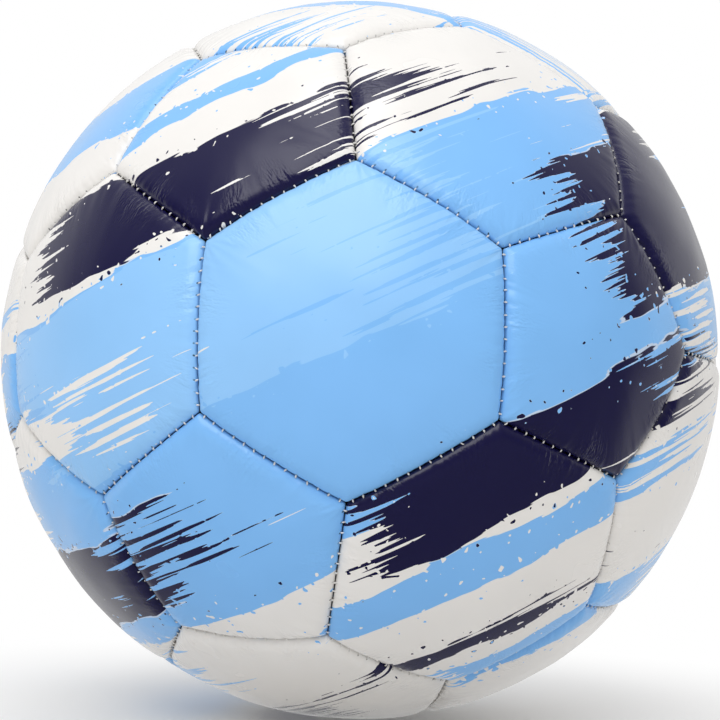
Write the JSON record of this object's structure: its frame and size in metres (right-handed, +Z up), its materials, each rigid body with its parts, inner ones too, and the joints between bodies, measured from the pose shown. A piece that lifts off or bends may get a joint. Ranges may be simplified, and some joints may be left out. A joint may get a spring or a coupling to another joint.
{
  "type": "soccer ball",
  "caption": "Full-size soccer ball: sewn hexagon and pentagon cover panels with a brushed sky-blue, white and navy print over an air bladder with a needle valve.",
  "frame": {"origin": "centre of the ball", "axes": "-Y out through the middle of the front hexagon, +Y out through the valve, +Z up along a two-fold axis of the panel pattern, +X to the right of the front view, towards a pentagon"},
  "size_m": [0.2196, 0.2199, 0.2194],
  "materials": {
    "sky_cover": "sky-blue printed PVC skin, clear gloss",
    "white_cover": "off-white printed PVC skin, clear gloss",
    "navy_cover": "navy printed PVC skin, clear gloss",
    "thread": "off-white waxed polyester thread",
    "bladder_rubber": "matt black butyl",
    "valve_rubber": "satin black rubber"
  },
  "bodies": {
    "root": {"hexagon_panel_01": "sky_cover", "hexagon_panel_02": "white_cover", "hexagon_panel_03": "white_cover", "hexagon_panel_04": "white_cover", "hexagon_panel_05": "sky_cover", "hexagon_panel_06": "sky_cover", "hexagon_panel_07": "white_cover", "hexagon_panel_08": "navy_cover", "hexagon_panel_09": "sky_cover", "hexagon_panel_10": "sky_cover", "hexagon_panel_11": "white_cover", "hexagon_panel_12": "white_cover", "hexagon_panel_13": "white_cover", "hexagon_panel_14": "navy_cover", "hexagon_panel_15": "navy_cover", "hexagon_panel_16": "navy_cover", "hexagon_panel_17": "white_cover", "hexagon_panel_18": "white_cover", "hexagon_panel_19": "white_cover", "valve_panel": "sky_cover", "pentagon_panel_01": "sky_cover", "pentagon_panel_02": "white_cover", "pentagon_panel_03": "navy_cover", "pentagon_panel_04": "sky_cover", "pentagon_panel_05": "white_cover", "pentagon_panel_06": "sky_cover", "pentagon_panel_07": "sky_cover", "pentagon_panel_08": "white_cover", "pentagon_panel_09": "sky_cover", "pentagon_panel_10": "white_cover", "pentagon_panel_11": "sky_cover", "pentagon_panel_12": "white_cover", "seam_thread": "thread", "bladder": "bladder_rubber", "valve_housing": "valve_rubber", "valve_core": "valve_rubber"}
  },
  "joints": []
}
